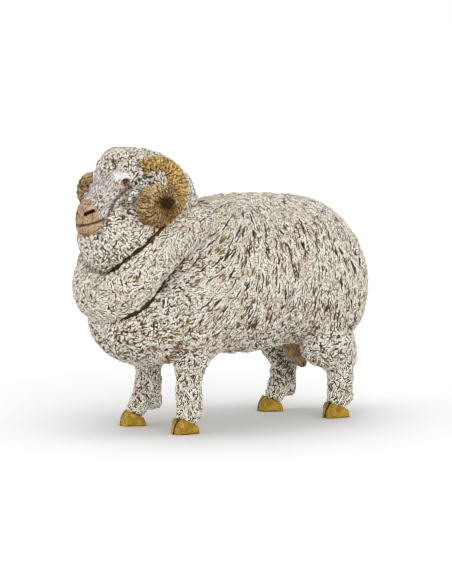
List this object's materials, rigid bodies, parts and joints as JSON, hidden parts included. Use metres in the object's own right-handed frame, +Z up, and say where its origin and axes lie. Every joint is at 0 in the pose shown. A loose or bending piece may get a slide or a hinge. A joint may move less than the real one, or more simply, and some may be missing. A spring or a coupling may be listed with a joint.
{
  "type": "toy farm animal figure",
  "caption": "Standing woolly ram figure with curled horns, a thick neck fold and cloven hooves, painted moulded plastic.",
  "frame": {"origin": "on the ground, under the middle of the figure's outline", "axes": "+Z up, -Y the way the ram faces, +X its left side"},
  "size_m": [0.0424, 0.0976, 0.0799],
  "materials": {
    "wool": "deeply carved curled wool, cream with a dark grey and ochre wash in the grooves, satin matt",
    "head": "carved wool on the neck and poll, short off-white hair on the face, tan pink muzzle, satin matt",
    "horn": "ochre with fine dark cross wrinkles, browner towards the tip, satin",
    "ear": "short grey-white wool, satin matt",
    "eye": "amber ring round a dark pupil, glossy varnish",
    "hoof": "ochre horn with darker edges, satin",
    "bare_skin": "ridged grey-brown skin, satin matt"
  },
  "bodies": {
    "root": {"ear_left": "ear", "ear_right": "ear", "eye_left": "eye", "eye_right": "eye", "head": "head", "hoof_front_left": "hoof", "hoof_front_right": "hoof", "hoof_rear_left": "hoof", "hoof_rear_right": "hoof", "horn_left": "horn", "horn_right": "horn", "leg_front_left": "wool", "leg_front_right": "wool", "leg_rear_left": "wool", "leg_rear_right": "wool", "pouch": "bare_skin", "tail": "wool", "torso": "wool"}
  },
  "joints": []
}
